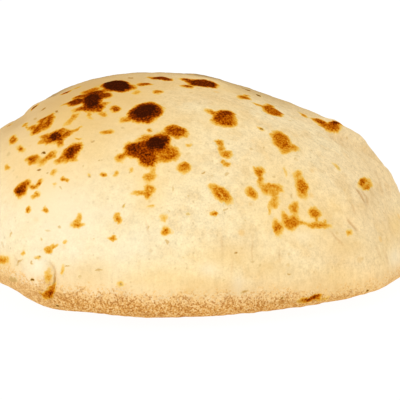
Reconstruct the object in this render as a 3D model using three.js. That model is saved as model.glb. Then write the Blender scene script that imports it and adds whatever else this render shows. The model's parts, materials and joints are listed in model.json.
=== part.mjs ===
// A puffed pita: one round of flatbread that steam has blown up into a lopsided dome.
//
// The upper skin runs from the crown down to the seam, the rounded edge where it meets the lower
// skin. The lower skin curls under from the seam to a flat foot. The loaf is closed, so it is one
// solid. Millimetres, +Z up, +X to the loaf's right and -Y to its front. The origin is at the
// foot's height, below the middle of the bounding box.
//
// A place on the skin is given as a bearing, in degrees anticlockwise from +X, and a latitude,
// in degrees from the seam: 90 is the crown and -90 the middle of the foot.
import * as THREE from "three";
import { mergeVertices } from "three/addons/utils/BufferGeometryUtils.js";

// Driving dimensions.
const WIDTH = 181; // along X, between the seams
const DEPTH = 174; // along Y, between the seams
const HEIGHT = 74.8; // foot to crown
const CROWN_SHIFT = -12.3; // the crown stands left of the middle
const PLAN_SQUARENESS = 2.43; // the plan's superellipse exponent, where 2 is an ellipse
const SEAM_HEIGHT = 7; // the seam above the foot
const LEFT_SEAM_RISE = 4.8; // what the seam gains at the left end
const FOOT_FLATTENING = 0.8; // how far the lower skin is pressed flat by standing

// The skin is carried by a finely cut icosahedron. The seam is slid this many degrees below its
// equator, so that more of its triangles are spent on the dome than on the foot.
const SKIN_DETAIL = 19;
const SEAM_SLIDE = 18;

// How full the dome is towards each side, as its profile's exponent, where 2 is a quarter ellipse.
const FULLNESS = { right: 1.98, back: 2.2, left: 1.89, front: 2.55 };
const UNDERSIDE_FULLNESS = 4.5;

// Where the plan's edge leaves its superellipse: a bearing, how far out, and how wide, in degrees.
const EDGE_CORNERS = [
  { bearing: -125.8, out: 4.3, spread: 4.6 }, // the front left corner, beside the pleat
  { bearing: -58, out: -6.9, spread: 16 }, // the flattened front right
  { bearing: 62, out: -3.0, spread: 20 }, // the flattened back right
  { bearing: 128, out: 1.6, spread: 14 }, // the back left corner
];

// Where the edge lifts clear of the table: a bearing, how high, and how wide, in degrees.
const EDGE_LIFTS = [
  { bearing: -157.6, rise: 8.4, spread: 22.6 },
  { bearing: -133.8, rise: 2.6, spread: 5.8 }, // where the pleat gathers it
  { bearing: 20, rise: 3.0, spread: 22 },
  { bearing: 112, rise: 3.5, spread: 16 },
];

// Round swellings of the upper skin, and hollows where rise is negative. Reach is the distance
// from the middle at which a swelling keeps six tenths of its rise.
const SWELLINGS = [
  { bearing: 5, latitude: 35, rise: 3.4, reach: 16.2 }, // right shoulder
  { bearing: 13, latitude: 56, rise: -2.6, reach: 22 }, // right flank
  { bearing: 167, latitude: 50.4, rise: -5.2, reach: 9 }, // left flank
  { bearing: 180, latitude: 54.2, rise: 2.0, reach: 6 },
  { bearing: 187, latitude: 49.4, rise: 0.7, reach: 3.8 }, // stands on the left skyline
  { bearing: 153, latitude: 39, rise: -2.0, reach: 8 },
  { bearing: 6, latitude: 34, rise: 1.5, reach: 4.1 }, // right end, above the notch
  { bearing: 3, latitude: 24, rise: 1.0, reach: 3.2 }, // and below it
  { bearing: -6, latitude: 19, rise: 0.6, reach: 7 },
  { bearing: 66, latitude: 40, rise: 2.0, reach: 16 }, // back shoulder
  { bearing: 118, latitude: 34, rise: -1.8, reach: 14 },
  { bearing: 150, latitude: 24, rise: 1.5, reach: 12 },
];

// Blisters, the thin bubbles that scorch first.
const BLISTERS = [
  { bearing: 3, latitude: 44, rise: 2.5, reach: 4.2 }, // stands on the right skyline
  { bearing: -94, latitude: 68, rise: 1.4, reach: 6.0 },
  { bearing: -94, latitude: 52, rise: 1.6, reach: 7.5 },
  { bearing: -134, latitude: 69, rise: 1.3, reach: 7.0 },
  { bearing: -152, latitude: 79, rise: 1.4, reach: 6.0 },
  { bearing: -134, latitude: 59, rise: 0.9, reach: 5.0 },
  { bearing: -120, latitude: 49, rise: 1.0, reach: 5.0 },
  { bearing: -56, latitude: 64, rise: 1.2, reach: 5.0 },
  { bearing: 18, latitude: 77, rise: 1.2, reach: 6.0 },
  { bearing: -40, latitude: 50, rise: 0.9, reach: 5.0 },
  { bearing: -16, latitude: 61, rise: 0.9, reach: 5.0 },
  { bearing: 70, latitude: 62, rise: 1.4, reach: 7.0 },
  { bearing: 122, latitude: 60, rise: 1.3, reach: 6.0 },
  { bearing: 95, latitude: 38, rise: 1.2, reach: 6.0 },
];

// Folds pressed into the skin, each along the skin from one place to another.
const FOLDS = [
  { from: [-120, 15], to: [-125, -12], depth: 2.6, width: 3.0 }, // the pleat at the corner
  { from: [5.4, 28.1], to: [-8, 43], depth: 2.5, width: 3.1 }, // the notch in the right skyline
  { from: [164, 49.9], to: [197, 49.9], depth: 2.1, width: 3.2 }, // the step in the left one
  { from: [-20, 18], to: [-27, 3], depth: 2.0, width: 3.8 }, // three folds round the right end
  { from: [-31, 13], to: [-33, -2], depth: 1.2, width: 3.2 },
  { from: [-10, 26], to: [-14, 12], depth: 1.3, width: 3.6 },
  { from: [-23, 28], to: [-33, 19], depth: 1.0, width: 3.0 },
  { from: [42, 24], to: [48, 0], depth: 1.8, width: 4.0 }, // and round the back
  { from: [98, 18], to: [93, -6], depth: 1.6, width: 3.6 },
  { from: [158, 30], to: [166, 6], depth: 1.8, width: 4.0 },
];
const FOLD_STEPS = 12;

// Shallow puckers that the shrinking seam draws into the skin, and the dome's long undulation.
const PUCKER = { depth: 0.45, count: 23, fade: 11 }; // fade is in degrees of latitude
const UNDULATION = 0.5;

const rad = THREE.MathUtils.degToRad;
const deg = THREE.MathUtils.radToDeg;
const { clamp, lerp, smoothstep } = THREE.MathUtils;

/** A bell curve, 1 at 0 and about 0.6 at one spread. */
const bell = (distance, spread) => Math.exp(-0.5 * (distance / spread) ** 2);

/** The smaller angle between two bearings, in degrees. */
const between = (a, b) => Math.abs(((((a - b) % 360) + 540) % 360) - 180);

/** Distance from the axis to the seam at a bearing. */
function seamRadius(bearing) {
  const across = Math.abs(Math.cos(rad(bearing))) / (WIDTH / 2);
  const along = Math.abs(Math.sin(rad(bearing))) / (DEPTH / 2);
  const n = PLAN_SQUARENESS;
  const plain = (across ** n + along ** n) ** (-1 / n);
  return EDGE_CORNERS.reduce(
    (sum, c) => sum + c.out * bell(between(bearing, c.bearing), c.spread),
    plain,
  );
}

/** Height of the seam at a bearing. */
function seamHeight(bearing) {
  const leftward = Math.max(0, -Math.cos(rad(bearing)));
  return EDGE_LIFTS.reduce(
    (sum, l) => sum + l.rise * bell(between(bearing, l.bearing), l.spread),
    SEAM_HEIGHT + LEFT_SEAM_RISE * leftward ** 4,
  );
}

/** The dome's profile exponent at a bearing, blended between the four sides. */
function fullness(bearing) {
  const c = Math.cos(rad(bearing));
  const s = Math.sin(rad(bearing));
  const side = c > 0 ? FULLNESS.right : FULLNESS.left;
  const face = s > 0 ? FULLNESS.back : FULLNESS.front;
  return side * c * c + face * s * s;
}

/** A point of the smooth skin, before swellings, blisters and folds. */
function skinPoint(bearing, latitude) {
  const level = Math.cos(rad(latitude));
  const rise = Math.abs(Math.sin(rad(latitude)));
  const seam = seamHeight(bearing);
  let radius = seamRadius(bearing);
  let height;
  let shift = 0;
  if (latitude >= 0) {
    radius *= level ** (2 / fullness(bearing));
    height = seam + (HEIGHT - seam) * rise;
    shift = CROWN_SHIFT * rise;
  } else {
    radius *= level ** (2 / UNDERSIDE_FULLNESS);
    const unpressed = (seam + FOOT_FLATTENING) * (1 - rise);
    height = Math.max(0, unpressed - FOOT_FLATTENING * rise);
  }
  const x = shift + radius * Math.cos(rad(bearing));
  return new THREE.Vector3(x, radius * Math.sin(rad(bearing)), height);
}

/** Each swelling and blister with the point it stands on. */
const mounds = [...SWELLINGS, ...BLISTERS].map((m) => ({
  ...m,
  middle: skinPoint(m.bearing, m.latitude),
}));

/** Each fold with the points that it runs through. */
const foldLines = FOLDS.map((fold) => {
  const points = [];
  for (let i = 0; i <= FOLD_STEPS; i++) {
    const t = i / FOLD_STEPS;
    const bearing = lerp(fold.from[0], fold.to[0], t);
    const latitude = lerp(fold.from[1], fold.to[1], t);
    points.push(skinPoint(bearing, latitude));
  }
  return { ...fold, points };
});

/** How far the finished skin stands out of the smooth skin at a point. */
function relief(point, bearing, latitude) {
  let out = 0;
  for (const m of mounds) out += m.rise * bell(point.distanceTo(m.middle), m.reach);
  for (const f of foldLines) {
    const nearest = Math.min(...f.points.map((p) => p.distanceTo(point)));
    out -= f.depth * bell(nearest, f.width);
  }
  const b = rad(bearing);
  const puckers = Math.sin(PUCKER.count * b + 2 * Math.sin(3 * b));
  out += PUCKER.depth * puckers * bell(latitude - 4, PUCKER.fade);
  const waves = Math.sin(3 * b + 1.1) * Math.cos(rad(2 * latitude)) + Math.sin(5 * b);
  out += UNDULATION * waves * bell(latitude - 35, 18);
  return out;
}

/** The whole loaf as one closed surface. */
function loafGeometry() {
  const ball = new THREE.IcosahedronGeometry(1, SKIN_DETAIL);
  ball.deleteAttribute("normal");
  ball.deleteAttribute("uv");
  const skin = mergeVertices(ball, 1e-5);
  const place = skin.getAttribute("position");
  const spots = [];
  for (let i = 0; i < place.count; i++) {
    const way = new THREE.Vector3().fromBufferAttribute(place, i).normalize();
    const bearing = deg(Math.atan2(way.y, way.x));
    const slid = deg(Math.asin(clamp(way.z, -1, 1))) + SEAM_SLIDE;
    const latitude = (slid * 90) / (slid > 0 ? 90 + SEAM_SLIDE : 90 - SEAM_SLIDE);
    const point = skinPoint(bearing, latitude);
    spots.push({ bearing, latitude, point });
    place.setXYZ(i, point.x, point.y, point.z);
  }
  skin.computeVertexNormals();
  const normals = skin.getAttribute("normal");
  spots.forEach(({ bearing, latitude, point }, i) => {
    const normal = new THREE.Vector3().fromBufferAttribute(normals, i);
    // The relief fades out towards the foot, which stays flat.
    const held = smoothstep(point.z, 0, SEAM_HEIGHT / 2);
    point.addScaledVector(normal, held * relief(point, bearing, latitude));
    place.setXYZ(i, point.x, point.y, Math.max(0, point.z));
  });
  skin.deleteAttribute("normal");
  skin.computeBoundingBox();
  const middle = skin.boundingBox.getCenter(new THREE.Vector3());
  skin.translate(-middle.x, -middle.y, 0);
  skin.computeVertexNormals();
  return skin;
}

const crust = new THREE.MeshStandardMaterial({
  color: 0xf3dcae,
  roughness: 0.85,
  metalness: 0,
});

const loaf = new THREE.Mesh(loafGeometry(), crust);
loaf.name = "pita_bread";

const pita = new THREE.Group();
pita.add(loaf);

export default pita;
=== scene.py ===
# %% [markdown]
# # A puffed pita
# This lesson dresses one loaf of pita. Its solid comes in as a plain closed shell with the right
# outline, swellings and folds. Here it gets the finer relief of a baked skin, and the colours that
# an oven gives it: cream dough, scorched blisters, and the sandy tan of the skin it was baked on.

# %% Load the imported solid
import json
import math
import random

import bpy
import numpy as np
from mathutils import Matrix, Vector
from mathutils.bvhtree import BVHTree

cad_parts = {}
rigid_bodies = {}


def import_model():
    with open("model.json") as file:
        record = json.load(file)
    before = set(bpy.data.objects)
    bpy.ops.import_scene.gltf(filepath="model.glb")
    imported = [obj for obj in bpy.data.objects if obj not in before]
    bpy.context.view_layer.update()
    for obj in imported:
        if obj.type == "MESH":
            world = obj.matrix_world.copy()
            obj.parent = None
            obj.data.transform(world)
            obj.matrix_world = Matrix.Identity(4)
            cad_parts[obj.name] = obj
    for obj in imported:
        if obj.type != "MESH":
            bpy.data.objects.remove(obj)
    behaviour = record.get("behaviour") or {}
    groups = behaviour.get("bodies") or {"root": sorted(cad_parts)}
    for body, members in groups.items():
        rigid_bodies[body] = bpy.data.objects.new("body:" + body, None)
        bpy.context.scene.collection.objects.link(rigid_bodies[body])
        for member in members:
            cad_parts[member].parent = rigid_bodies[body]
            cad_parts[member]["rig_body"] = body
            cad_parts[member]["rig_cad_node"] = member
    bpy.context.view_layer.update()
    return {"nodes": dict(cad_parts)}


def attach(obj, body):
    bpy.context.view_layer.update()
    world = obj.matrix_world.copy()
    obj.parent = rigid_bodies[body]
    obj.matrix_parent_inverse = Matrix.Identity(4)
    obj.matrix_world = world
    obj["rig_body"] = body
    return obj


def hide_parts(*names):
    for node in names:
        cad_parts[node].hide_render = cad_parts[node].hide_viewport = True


MM = 0.001
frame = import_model()

# %% [markdown]
# ## Camera
# The camera comes first, because the scorch marks are placed by looking through it. It stands
# about as high above the table as a seated eye, 15 degrees up, and far enough away that the loaf
# isn't distorted. The view is 160 mm wide where it crosses the loaf, so both ends run out of it.

# %% Place the camera
ELEVATION = math.radians(15)
DISTANCE = 700 * MM
TARGET = Vector((5.0, 0, 25.5)) * MM
VIEW_WIDTH = 160 * MM
PICTURE = 400
PIXEL = VIEW_WIDTH / PICTURE

TO_RIGHT = Vector((1, 0, 0))
TO_TOP = Vector((0, math.sin(ELEVATION), math.cos(ELEVATION)))
TO_CAMERA = Vector((0, -math.cos(ELEVATION), math.sin(ELEVATION)))

bpy.ops.object.camera_add(
    location=TARGET + TO_CAMERA * DISTANCE,
    rotation=(math.pi / 2 - ELEVATION, 0, 0),
)
camera = bpy.context.object
camera.name = "camera"
camera.data.lens = camera.data.sensor_width * DISTANCE / VIEW_WIDTH
bpy.context.scene.camera = camera
print("lens, mm:", round(camera.data.lens, 1))

# %% [markdown]
# ## Studio
# The loaf stands on a light table: a white sheet that glows a little, so that its shadow stays pale.
# The sheet runs well past the view, and a pale world lights the loaf evenly from all round. One large
# soft light from the front left makes that side the brightest, and a weaker one low in front fills
# the front, so the crown and the right end stay a little darker. The Standard view transform keeps
# the colours as they are mixed here.

# %% Light the studio
WORLD_STRENGTH = 0.84
KEY_POWER = 2.9
KEY_PLACE = Vector((-0.6, -0.85, 0.95))
KEY_SIZE = 0.7
FILL_POWER = 1.0
FILL_PLACE = Vector((0.1, -1.2, 0.35))
FILL_SIZE = 0.8
LOAF_MIDDLE = Vector((0, 0, 0.03))

scene = bpy.context.scene
scene.view_settings.view_transform = "Standard"
world = bpy.data.worlds.new("studio")
world.use_nodes = True
world.node_tree.nodes["Background"].inputs["Color"].default_value = (1, 1, 1, 1)
world.node_tree.nodes["Background"].inputs["Strength"].default_value = WORLD_STRENGTH
scene.world = world


def soft_light(name, place, size, power):
    """A square soft light that faces the loaf."""
    bpy.ops.object.light_add(type="AREA", location=place)
    light = bpy.context.object
    light.name = name
    light.data.size = size
    light.data.energy = power
    light.rotation_euler = (LOAF_MIDDLE - place).to_track_quat("-Z", "Y").to_euler()


soft_light("key_light", KEY_PLACE, KEY_SIZE, KEY_POWER)
soft_light("fill_light", FILL_PLACE, FILL_SIZE, FILL_POWER)

# %% Lay the floor
FLOOR_SIZE = 12
FLOOR_GREY = 0.08
FLOOR_GLOW = 0.95

bpy.ops.mesh.primitive_plane_add(size=FLOOR_SIZE, location=(0, 0, 0))
floor = bpy.context.object
floor.name = "floor"
floor_paint = bpy.data.materials.new("floor_paint")
floor_paint.use_nodes = True
floor_shader = floor_paint.node_tree.nodes["Principled BSDF"]
floor_shader.inputs["Base Color"].default_value = (FLOOR_GREY, FLOOR_GREY, FLOOR_GREY, 1)
floor_shader.inputs["Roughness"].default_value = 0.9
floor_shader.inputs["Specular IOR Level"].default_value = 0.1
floor_shader.inputs["Emission Color"].default_value = (1, 1, 1, 1)
floor_shader.inputs["Emission Strength"].default_value = FLOOR_GLOW
floor.data.materials.append(floor_paint)
print("floor, m:", FLOOR_SIZE)

# %% [markdown]
# ## Crust
# The skin of a pita is thin, and it is stretched tight over steam. Modelling it from a sphere would
# lose the folds that the solid already has, so the crust starts as a copy of the solid. The copy's
# loose triangles are merged, and two levels of subdivision turn them into a smooth skin whose
# points are about a millimetre apart, which is fine enough for blisters and creases.

# %% Copy the solid and smooth it
MERGE_REACH = 0.02 * MM
SMOOTH_LEVELS = 2

solid = frame["nodes"]["pita_bread"]
bpy.ops.object.select_all(action="DESELECT")
solid.select_set(True)
bpy.context.view_layer.objects.active = solid
bpy.ops.object.duplicate()
crust = bpy.context.object
crust.name = "baked_crust"
crust.parent = None
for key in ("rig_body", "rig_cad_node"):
    del crust[key]
crust.data.materials.clear()

bpy.ops.object.mode_set(mode="EDIT")
bpy.ops.mesh.select_all(action="SELECT")
bpy.ops.mesh.remove_doubles(threshold=MERGE_REACH)
bpy.ops.mesh.customdata_custom_splitnormals_clear()
bpy.ops.object.mode_set(mode="OBJECT")

smoothing = crust.modifiers.new("smoothing", "SUBSURF")
smoothing.levels = SMOOTH_LEVELS
smoothing.render_levels = SMOOTH_LEVELS
bpy.ops.object.modifier_apply(modifier=smoothing.name)
bpy.ops.object.shade_smooth()
print("crust points:", len(crust.data.vertices), "triangles:", 2 * len(crust.data.polygons))

# %% [markdown]
# ## Finding a place on the skin
# Marks and creases are given by the pixel at which the camera sees them. A ray through the pixel
# finds the place on the skin and the way the skin faces there, so that each mark sits on the loaf
# and looks right from any side.


# %% Look through a pixel
CROWN_PIXEL = (170, 90)
skin_tree = BVHTree.FromObject(crust, bpy.context.evaluated_depsgraph_get())


def skin_at(pixel):
    """The place on the skin that the camera sees at a pixel, and the way it faces."""
    across = (pixel[0] + 0.5 - PICTURE / 2) * PIXEL
    down = (pixel[1] + 0.5 - PICTURE / 2) * PIXEL
    aim = TARGET + TO_RIGHT * across - TO_TOP * down
    way = (aim - camera.location).normalized()
    place, facing, _, _ = skin_tree.ray_cast(camera.location, way)
    if place is None:
        place, facing, _, _ = skin_tree.find_nearest(camera.location + way * DISTANCE)
    return place, facing


crown, _ = skin_at(CROWN_PIXEL)
print("skin near the crown, mm:", [round(part / MM, 1) for part in crown])

# %% [markdown]
# ## Scorch marks
# Where a bubble lifts the skin, it thins and scorches. Each mark is one or more ellipses, given by
# where it is seen, how wide and how tall it looks in millimetres, how far it leans anticlockwise,
# and its heat: 0.2 is pale gold, 0.5 is orange-brown, 0.8 is dark brown and 1 is charred. A rug
# laid on a hill looks shorter than it is, and so does a mark near the rim, so each ellipse is laid
# on the skin along the line of sight and then measured there.


# %% Lay an ellipse on the skin
OUTWARD_ROOM = 3 * MM  # how far an ellipse reaches out of the skin beyond its own size
GRAZING = -0.3  # sight lines flatter to the skin than this stretch a mark no further

scorches = []


def lay(marks, place, sides, strength):
    """Keeps an ellipse on the skin, from the two half-widths that span it."""
    axes, reach, _ = np.linalg.svd(np.array(sides).T)
    half = (reach[0], reach[1], reach[0] + OUTWARD_ROOM)
    marks.append({"place": place, "axes": axes.T, "half": half, "strength": strength})


def lay_seen(marks, pixel, wide, tall, strength, lean):
    """Lays an ellipse that looks so many millimetres wide and tall from the camera."""
    place, facing = skin_at(pixel)
    way = (place - camera.location).normalized()
    slope = min(GRAZING, way.dot(facing))
    nearness = (place - camera.location).length / DISTANCE
    sides = []
    for size, angle in ((wide, math.radians(lean)), (tall, math.radians(lean + 90))):
        seen = TO_RIGHT * math.cos(angle) + TO_TOP * math.sin(angle)
        along_skin = seen - way * (seen.dot(facing) / slope)
        sides.append(along_skin * (size / 2 * MM * nearness))
    lay(marks, place, sides, strength)


def scorch(pixel, wide, tall, heat, lean=0):
    """Scorches the skin at a pixel."""
    lay_seen(scorches, pixel, wide, tall, heat, lean)


# %% Scorch the crown
scorch(pixel=(115.8, 85), wide=11.0, tall=4.7, heat=1.0, lean=-1)
scorch(pixel=(131, 86.5), wide=3.4, tall=1.5, heat=0.6, lean=-12)
scorch(pixel=(144, 84), wide=5.0, tall=1.5, heat=0.66, lean=4)
scorch(pixel=(136, 92), wide=3.0, tall=1.2, heat=0.36, lean=10)
scorch(pixel=(157.5, 91.7), wide=3.0, tall=1.6, heat=0.52)
scorch(pixel=(161, 78.8), wide=7.6, tall=1.8, heat=0.84, lean=-5)
scorch(pixel=(150, 77), wide=2.6, tall=0.9, heat=0.5, lean=-5)
scorch(pixel=(202.5, 83.6), wide=11.2, tall=3.2, heat=0.88, lean=-7)
scorch(pixel=(187, 80.4), wide=5.6, tall=1.4, heat=0.76, lean=-14)
scorch(pixel=(187, 86), wide=4.0, tall=1.3, heat=0.68, lean=-4)
scorch(pixel=(91.5, 99.5), wide=7.0, tall=5.8, heat=0.98, lean=20)
scorch(pixel=(94, 93), wide=6.4, tall=2.4, heat=0.8, lean=5)
scorch(pixel=(90, 90.6), wide=7.4, tall=1.8, heat=0.54, lean=16)
scorch(pixel=(104.5, 90.6), wide=5.4, tall=1.3, heat=0.5, lean=10)
scorch(pixel=(96, 86.4), wide=3.4, tall=0.8, heat=0.28, lean=22)
scorch(pixel=(81, 96.3), wide=6.4, tall=1.7, heat=0.7, lean=12)
scorch(pixel=(103, 95.8), wide=6.2, tall=2.0, heat=0.78, lean=8)
scorch(pixel=(75.5, 101.6), wide=6.8, tall=2.3, heat=0.84, lean=14)
scorch(pixel=(85.5, 108.6), wide=8.0, tall=1.6, heat=0.76, lean=4)
scorch(pixel=(96, 106.5), wide=4.4, tall=2.8, heat=0.72)
scorch(pixel=(104, 104), wide=3.4, tall=1.0, heat=0.48, lean=20)
scorch(pixel=(64, 104), wide=3.4, tall=0.8, heat=0.36, lean=30)
scorch(pixel=(66, 92.3), wide=3.8, tall=1.0, heat=0.72, lean=24)
scorch(pixel=(76.5, 87.6), wide=3.4, tall=0.7, heat=0.4, lean=24)
scorch(pixel=(115.3, 108.6), wide=3.2, tall=2.1, heat=0.7)
scorch(pixel=(102.7, 113.5), wide=2.8, tall=1.5, heat=0.46)
scorch(pixel=(88.3, 114.4), wide=2.0, tall=1.4, heat=0.38)
scorch(pixel=(91, 118), wide=1.4, tall=0.8, heat=0.25, lean=-30)
scorch(pixel=(130, 98.5), wide=2.8, tall=0.8, heat=0.16, lean=-35)
print("marks so far:", len(scorches))

# %% Scorch the upper front
scorch(pixel=(145, 110.8), wide=13.0, tall=7.4, heat=0.82, lean=14)
scorch(pixel=(144, 110.8), wide=9.8, tall=5.4, heat=1.0, lean=14)
scorch(pixel=(125, 119.3), wide=4.0, tall=1.5, heat=0.5, lean=8)
scorch(pixel=(155.2, 143.2), wide=8.6, tall=5.2, heat=1.0, lean=8)
scorch(pixel=(147, 148), wide=12.2, tall=6.6, heat=0.72, lean=12)
scorch(pixel=(134.5, 149), wide=6.4, tall=5.2, heat=0.8)
scorch(pixel=(163, 140.5), wide=4.4, tall=4.8, heat=0.86)
scorch(pixel=(148.5, 157.5), wide=7.4, tall=4.8, heat=0.7)
scorch(pixel=(147.5, 163.5), wide=3.8, tall=2.4, heat=0.58)
scorch(pixel=(144, 137.5), wide=4.4, tall=1.4, heat=0.56, lean=12)
scorch(pixel=(172.5, 151.5), wide=4.8, tall=4.0, heat=0.42, lean=-30)
scorch(pixel=(166, 158), wide=5.2, tall=2.6, heat=0.42, lean=10)
scorch(pixel=(166, 153), wide=5.8, tall=5.0, heat=0.52)
scorch(pixel=(120.3, 157), wide=2.8, tall=2.4, heat=0.56)
scorch(pixel=(124.5, 153.5), wide=2.8, tall=1.6, heat=0.42, lean=30)
scorch(pixel=(128, 147.5), wide=2.2, tall=3.2, heat=0.56)
scorch(pixel=(161, 134.5), wide=3.6, tall=2.2, heat=0.4)
scorch(pixel=(175.3, 131.4), wide=7.8, tall=3.9, heat=0.68, lean=-8)
scorch(pixel=(149.4, 129.4), wide=1.3, tall=1.3, heat=0.48)
scorch(pixel=(183.8, 167), wide=4.3, tall=3.1, heat=0.58)
scorch(pixel=(106.6, 131.2), wide=3.6, tall=1.3, heat=0.58, lean=8)
scorch(pixel=(149, 177.6), wide=3.4, tall=2.5, heat=0.48)
scorch(pixel=(151.5, 171), wide=1.5, tall=2.8, heat=0.28, lean=10)
scorch(pixel=(149.2, 189.3), wide=3.2, tall=3.0, heat=0.56)
scorch(pixel=(140, 192), wide=4.8, tall=1.4, heat=0.4, lean=8)
scorch(pixel=(147.3, 195), wide=1.6, tall=2.2, heat=0.44)
scorch(pixel=(150.6, 206), wide=2.4, tall=1.2, heat=0.26)
scorch(pixel=(188.8, 144.4), wide=2.2, tall=0.8, heat=0.28)
print("marks so far:", len(scorches))

# %% Scorch the left shoulder
scorch(pixel=(34, 107.4), wide=2.4, tall=0.35, heat=1.0, lean=40)
scorch(pixel=(8.6, 125), wide=1.8, tall=0.3, heat=0.8, lean=32)
scorch(pixel=(23.9, 124), wide=1.6, tall=1.3, heat=0.48)
scorch(pixel=(26, 127.4), wide=1.2, tall=0.9, heat=0.36)
scorch(pixel=(45.5, 121.6), wide=6.2, tall=3.6, heat=0.66, lean=42)
scorch(pixel=(50, 117.5), wide=3.2, tall=2.4, heat=0.56, lean=30)
scorch(pixel=(38.5, 128.2), wide=4.6, tall=1.8, heat=0.62, lean=40)
scorch(pixel=(32.2, 127.8), wide=2.6, tall=1.7, heat=0.58, lean=20)
scorch(pixel=(33.6, 132.2), wide=2.8, tall=0.9, heat=0.44, lean=35)
scorch(pixel=(71, 119.5), wide=6.2, tall=1.7, heat=0.34, lean=38)
scorch(pixel=(74, 116), wide=1.8, tall=1.8, heat=0.4)
scorch(pixel=(55, 136.6), wide=5.0, tall=3.6, heat=0.9, lean=15)
scorch(pixel=(66, 134.2), wide=4.6, tall=1.8, heat=0.66, lean=32)
scorch(pixel=(61, 131.2), wide=2.8, tall=1.3, heat=0.6, lean=10)
scorch(pixel=(45.5, 136.5), wide=3.8, tall=1.5, heat=0.6, lean=5)
scorch(pixel=(43, 141), wide=3.0, tall=1.1, heat=0.46, lean=20)
scorch(pixel=(49.5, 141), wide=3.4, tall=1.6, heat=0.62, lean=10)
scorch(pixel=(59, 142.8), wide=1.8, tall=1.8, heat=0.54)
scorch(pixel=(76.5, 128.3), wide=3.6, tall=0.8, heat=0.44, lean=32)
scorch(pixel=(78.3, 138.2), wide=2.6, tall=0.8, heat=0.34)
scorch(pixel=(71.5, 151.5), wide=7.8, tall=4.0, heat=0.76, lean=40)
scorch(pixel=(71, 151.8), wide=4.8, tall=2.6, heat=0.92, lean=40)
scorch(pixel=(59, 159.5), wide=3.4, tall=1.5, heat=0.48, lean=25)
scorch(pixel=(72, 159), wide=2.4, tall=1.4, heat=0.4)
scorch(pixel=(47, 157.2), wide=6.4, tall=1.7, heat=0.48, lean=38)
scorch(pixel=(52, 153.8), wide=2.4, tall=1.8, heat=0.48, lean=38)
scorch(pixel=(32.4, 158.6), wide=3.7, tall=2.2, heat=0.68, lean=12)
scorch(pixel=(28.7, 162.6), wide=1.8, tall=1.3, heat=0.42, lean=40)
scorch(pixel=(12.6, 139.2), wide=2.5, tall=1.7, heat=0.72, lean=60)
scorch(pixel=(21, 148.3), wide=2.6, tall=2.3, heat=0.36)
scorch(pixel=(20.8, 148.6), wide=1.5, tall=1.0, heat=0.6, lean=45)
scorch(pixel=(21.2, 189.2), wide=5.2, tall=3.4, heat=0.72, lean=60)
scorch(pixel=(19.4, 191), wide=2.8, tall=2.4, heat=0.84)
scorch(pixel=(27, 182.8), wide=2.2, tall=1.7, heat=0.54, lean=50)
scorch(pixel=(33.3, 186.7), wide=2.2, tall=1.5, heat=0.56)
scorch(pixel=(39.3, 182.6), wide=2.4, tall=1.3, heat=0.58, lean=45)
scorch(pixel=(35.8, 194.6), wide=2.4, tall=1.3, heat=0.46, lean=40)
print("marks so far:", len(scorches))

# %% Scorch the right of the crown
scorch(pixel=(223.2, 117.4), wide=8.6, tall=5.2, heat=0.58, lean=-5)
scorch(pixel=(224.5, 113), wide=5.4, tall=2.4, heat=0.76)
scorch(pixel=(219, 117), wide=3.4, tall=2.6, heat=0.7)
scorch(pixel=(229, 123.5), wide=3.4, tall=1.8, heat=0.66)
scorch(pixel=(211, 111.5), wide=4.0, tall=1.4, heat=0.5, lean=-18)
scorch(pixel=(243.3, 97.4), wide=4.2, tall=2.4, heat=0.6)
scorch(pixel=(246, 95), wide=1.8, tall=0.9, heat=0.46)
scorch(pixel=(272.4, 110), wide=8.6, tall=3.3, heat=0.62, lean=-22)
scorch(pixel=(268.8, 105.4), wide=2.8, tall=1.8, heat=0.54)
scorch(pixel=(257.5, 104.6), wide=3.6, tall=0.7, heat=0.38, lean=-20)
scorch(pixel=(258.4, 95.1), wide=2.2, tall=0.8, heat=0.3, lean=-25)
scorch(pixel=(302.8, 115), wide=2.6, tall=0.9, heat=0.46, lean=-35)
scorch(pixel=(332, 126.4), wide=5.2, tall=3.0, heat=0.64, lean=-6)
scorch(pixel=(335, 122.8), wide=3.6, tall=0.9, heat=1.0, lean=-4)
scorch(pixel=(319.5, 122), wide=5.8, tall=1.5, heat=0.72, lean=-28)
scorch(pixel=(280.6, 139.6), wide=8.2, tall=5.2, heat=0.54, lean=-50)
scorch(pixel=(292.5, 147), wide=3.4, tall=1.6, heat=0.42, lean=-18)
scorch(pixel=(285.5, 149.5), wide=3.0, tall=2.2, heat=0.42)
scorch(pixel=(260.6, 128.6), wide=2.0, tall=0.9, heat=0.36, lean=-28)
print("marks so far:", len(scorches))

# %% Scorch the middle of the front
scorch(pixel=(218.8, 141.5), wide=2.2, tall=1.7, heat=0.52)
scorch(pixel=(220, 147.8), wide=2.1, tall=2.5, heat=0.42)
scorch(pixel=(226, 153.8), wide=3.2, tall=1.8, heat=0.5)
scorch(pixel=(222.5, 161.7), wide=1.5, tall=1.3, heat=0.38)
scorch(pixel=(226.7, 164.7), wide=1.9, tall=1.3, heat=0.44)
scorch(pixel=(259.2, 171), wide=2.8, tall=2.5, heat=0.54)
scorch(pixel=(255, 168.3), wide=2.2, tall=0.9, heat=0.3, lean=-40)
scorch(pixel=(260.5, 178.6), wide=1.9, tall=3.6, heat=0.44)
scorch(pixel=(271, 185.6), wide=5.4, tall=1.6, heat=0.42, lean=-4)
scorch(pixel=(266, 189), wide=2.6, tall=2.8, heat=0.36)
scorch(pixel=(272.5, 190), wide=3.4, tall=2.6, heat=0.28)
scorch(pixel=(279, 188.6), wide=2.8, tall=1.4, heat=0.3, lean=-25)
scorch(pixel=(273.8, 195.5), wide=2.2, tall=5.0, heat=0.35)
scorch(pixel=(273.4, 203.6), wide=3.2, tall=2.4, heat=0.34, lean=30)
scorch(pixel=(268.9, 210), wide=1.0, tall=2.6, heat=0.28, lean=10)
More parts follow.
